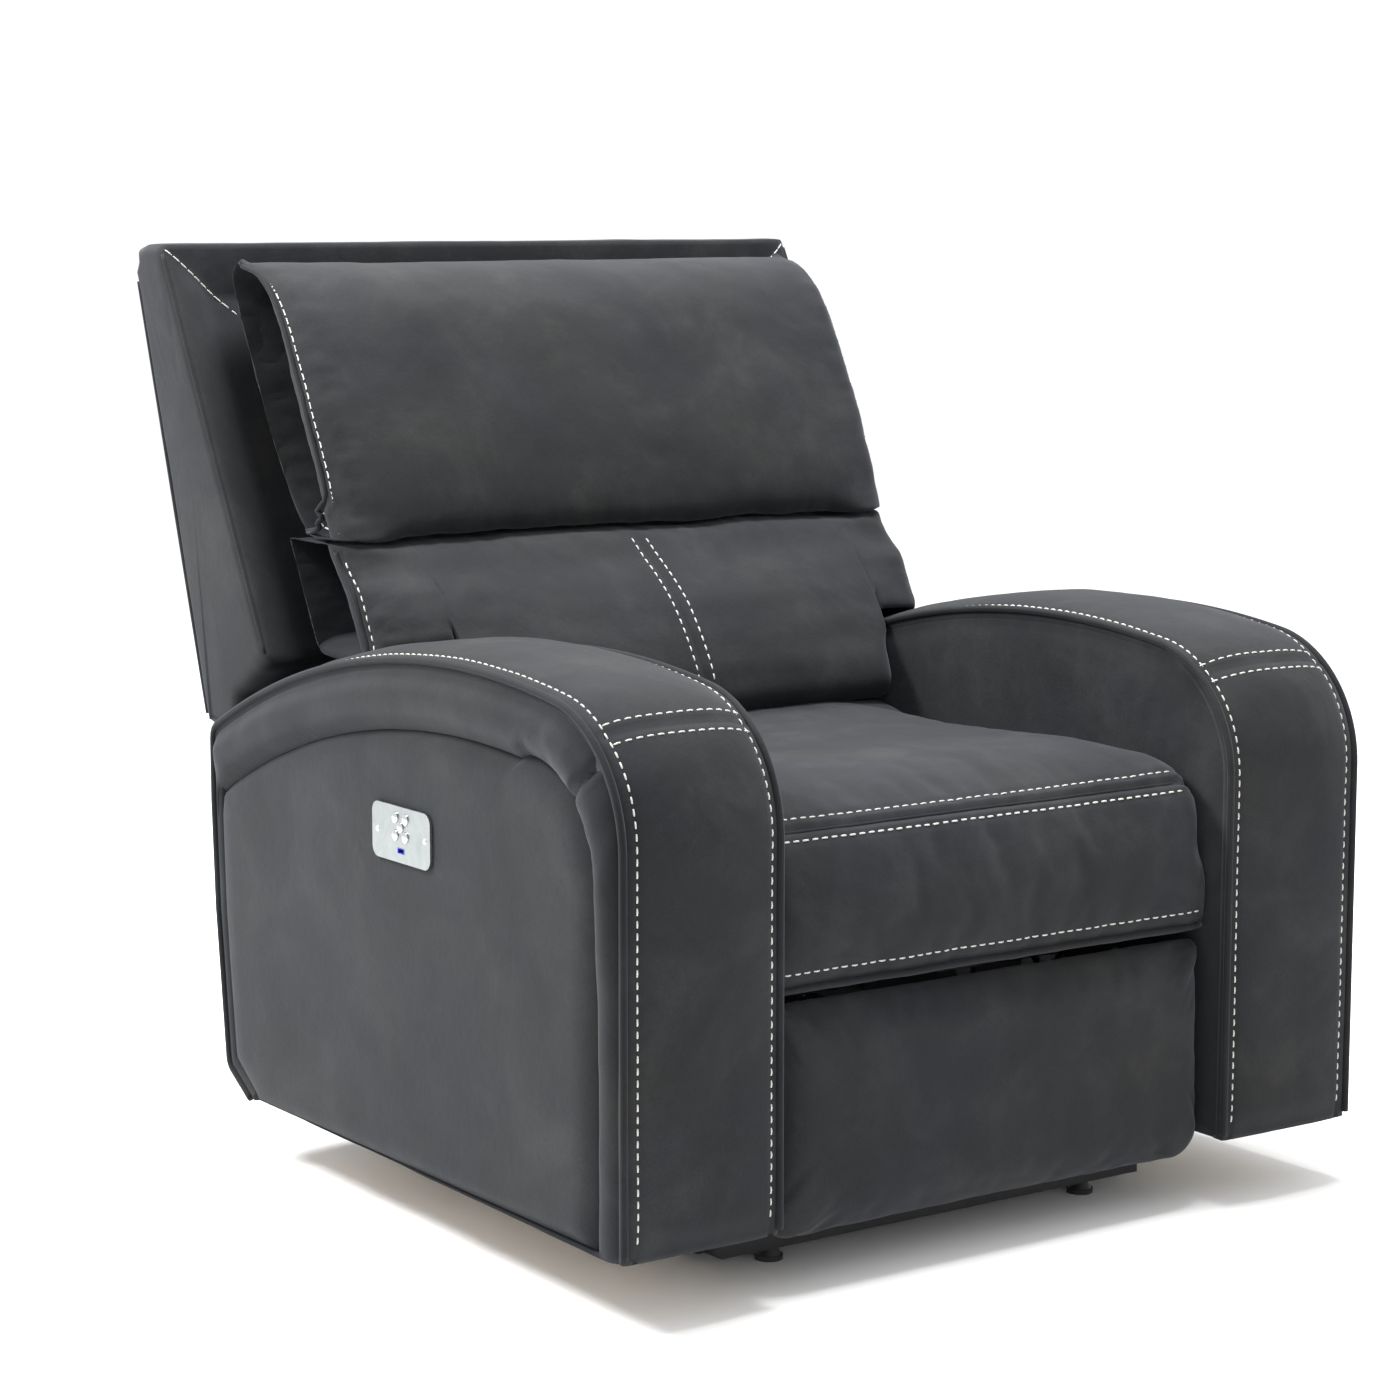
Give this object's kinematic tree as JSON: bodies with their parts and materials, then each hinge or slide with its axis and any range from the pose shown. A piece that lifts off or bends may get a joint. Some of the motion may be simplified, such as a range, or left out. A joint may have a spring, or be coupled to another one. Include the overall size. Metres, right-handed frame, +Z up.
{
  "type": "recliner armchair",
  "caption": "Power recliner armchair with fixed arms, reclining back, tilting headrest, lifting footrest and a button plate with a charging socket.",
  "frame": {"origin": "on the floor under the middle of the chair's overall box", "axes": "+Z up, the chair faces -Y, +X towards the sitter's left arm, which is the arm without the buttons"},
  "size_m": [0.9957, 1.0919, 1.05],
  "materials": {
    "plywood": "matte",
    "black_steel": "satin",
    "foot_plastic": "satin",
    "bolt_steel": "satin",
    "black_cloth": "matte",
    "motor_plastic": "matte",
    "plate_metal": "satin",
    "button_metal": "gloss",
    "usb_plastic": "satin",
    "board_green": "satin",
    "link_steel": "satin",
    "suede": "matte"
  },
  "bodies": {
    "base": {"base_side_rails": "black_steel", "base_end_rails": "black_steel", "base_cross_plates": "black_steel", "base_link_plates": "link_steel", "arm_brackets": "black_steel", "arm_frame_left": "plywood", "arm_frame_right": "plywood", "arm_band_left": "suede", "arm_band_right": "suede", "arm_outer_panel_left": "suede", "arm_outer_panel_right": "suede", "arm_inner_panel_left": "suede", "arm_inner_panel_right": "suede", "control_plate": "plate_metal", "control_housing": "motor_plastic", "control_board": "board_green", "feet": "foot_plastic", "bracket_bolts": "bolt_steel", "rear_skirt": "black_cloth", "power_supply": "motor_plastic", "power_inlet": "motor_plastic", "plate_screws": "bolt_steel", "usb_port": "usb_plastic", "recline_motor": "motor_plastic"},
    "front_swing": {"front_swing_links": "link_steel", "recline_shaft": "link_steel"},
    "rear_swing": {"rear_swing_links": "link_steel"},
    "seat": {"seat_side_plates": "link_steel", "seat_cross_bar": "link_steel", "seat_frame_rails": "plywood", "seat_end_rails": "plywood", "seat_webbing": "black_cloth", "seat_cushion": "suede", "footrest_motor": "motor_plastic"},
    "back": {"back_brackets": "link_steel", "back_posts": "plywood", "back_cross_rails": "plywood", "back_top_rail": "plywood", "back_wing_frames": "plywood", "back_webbing": "black_cloth", "back_shell": "suede", "lumbar_cushion": "suede", "headrest_brackets": "link_steel", "headrest_motor": "motor_plastic"},
    "headrest": {"headrest_rod": "link_steel", "headrest_plate": "plywood", "headrest_cushion": "suede"},
    "lift": {"lift_links": "link_steel", "lift_shaft": "link_steel"},
    "knee": {"knee_links": "link_steel"},
    "stay": {"stay_links": "link_steel"},
    "reach": {"reach_links": "link_steel"},
    "footrest": {"footrest_brackets": "link_steel", "footrest_board": "plywood", "footrest_cushion": "suede"},
    "button_upper_front": {"button_upper_front": "button_metal"},
    "button_upper_rear": {"button_upper_rear": "button_metal"},
    "button_centre": {"button_centre": "button_metal"},
    "button_lower_front": {"button_lower_front": "button_metal"},
    "button_lower_rear": {"button_lower_rear": "button_metal"}
  },
  "joints": [
    {"name": "front_swing", "type": "hinge", "parent": "base", "child": "front_swing", "pos_m": [0, -0.18, 0.092], "axis": [1, 0, 0], "range_deg": [0, 10.01]},
    {"name": "seat_glide", "type": "hinge", "parent": "front_swing", "child": "seat", "pos_m": [0, -0.16954, 0.21154], "axis": [-1, 0, 0], "range_deg": [0, 10.01]},
    {"name": "rear_swing", "type": "hinge", "parent": "base", "child": "rear_swing", "pos_m": [0, 0.175, 0.092], "axis": [1, 0, 0], "range_deg": [0, 10.01]},
    {"name": "back_recline", "type": "hinge", "parent": "seat", "child": "back", "pos_m": [0, 0.15, 0.38], "axis": [-1, 0, 0], "range_deg": [0, 32]},
    {"name": "headrest_tilt", "type": "hinge", "parent": "back", "child": "headrest", "pos_m": [0, 0.29822, 0.74289], "axis": [1, 0, 0], "range_deg": [0, 20]},
    {"name": "footrest_lift", "type": "hinge", "parent": "seat", "child": "lift", "pos_m": [0, -0.33, 0.265], "axis": [-1, 0, 0], "range_deg": [0, 95]},
    {"name": "knee_fold", "type": "hinge", "parent": "lift", "child": "knee", "pos_m": [0, -0.29874, 0.08773], "axis": [1, 0, 0], "range_deg": [0, 103.32]},
    {"name": "footrest_turn", "type": "hinge", "parent": "knee", "child": "footrest", "pos_m": [0, -0.455, 0.235], "axis": [-1, 0, 0], "range_deg": [0, 92.32]},
    {"name": "stay_swing", "type": "hinge", "parent": "seat", "child": "stay", "pos_m": [0, -0.295, 0.235], "axis": [-1, 0, 0], "range_deg": [0, 98.46]},
    {"name": "reach_fold", "type": "hinge", "parent": "stay", "child": "reach", "pos_m": [0, -0.268, 0.098], "axis": [1, 0, 0], "range_deg": [0, 105.2]},
    {"name": "press_upper_front", "type": "slide", "parent": "base", "child": "button_upper_front", "axis": [1, 0, 0], "range_m": [0, 0.001], "stiffness_N_per_m": 300, "springref_m": -0.0003},
    {"name": "press_upper_rear", "type": "slide", "parent": "base", "child": "button_upper_rear", "axis": [1, 0, 0], "range_m": [0, 0.001], "stiffness_N_per_m": 300, "springref_m": -0.0003},
    {"name": "press_centre", "type": "slide", "parent": "base", "child": "button_centre", "axis": [1, 0, 0], "range_m": [0, 0.001], "stiffness_N_per_m": 300, "springref_m": -0.0003},
    {"name": "press_lower_front", "type": "slide", "parent": "base", "child": "button_lower_front", "axis": [1, 0, 0], "range_m": [0, 0.001], "stiffness_N_per_m": 300, "springref_m": -0.0003},
    {"name": "press_lower_rear", "type": "slide", "parent": "base", "child": "button_lower_rear", "axis": [1, 0, 0], "range_m": [0, 0.001], "stiffness_N_per_m": 300, "springref_m": -0.0003}
  ],
  "couplings": [
    {"joint": "front_swing", "follows": "back_recline", "ratio": 0.3125},
    {"joint": "seat_glide", "follows": "back_recline", "ratio": 0.3125},
    {"joint": "rear_swing", "follows": "back_recline", "ratio": 0.3125},
    {"joint": "knee_fold", "follows": "footrest_lift", "ratio": 1.0874},
    {"joint": "footrest_turn", "follows": "footrest_lift", "ratio": 0.97161},
    {"joint": "stay_swing", "follows": "footrest_lift", "ratio": 1.0362},
    {"joint": "reach_fold", "follows": "footrest_lift", "ratio": 1.1072}
  ]
}
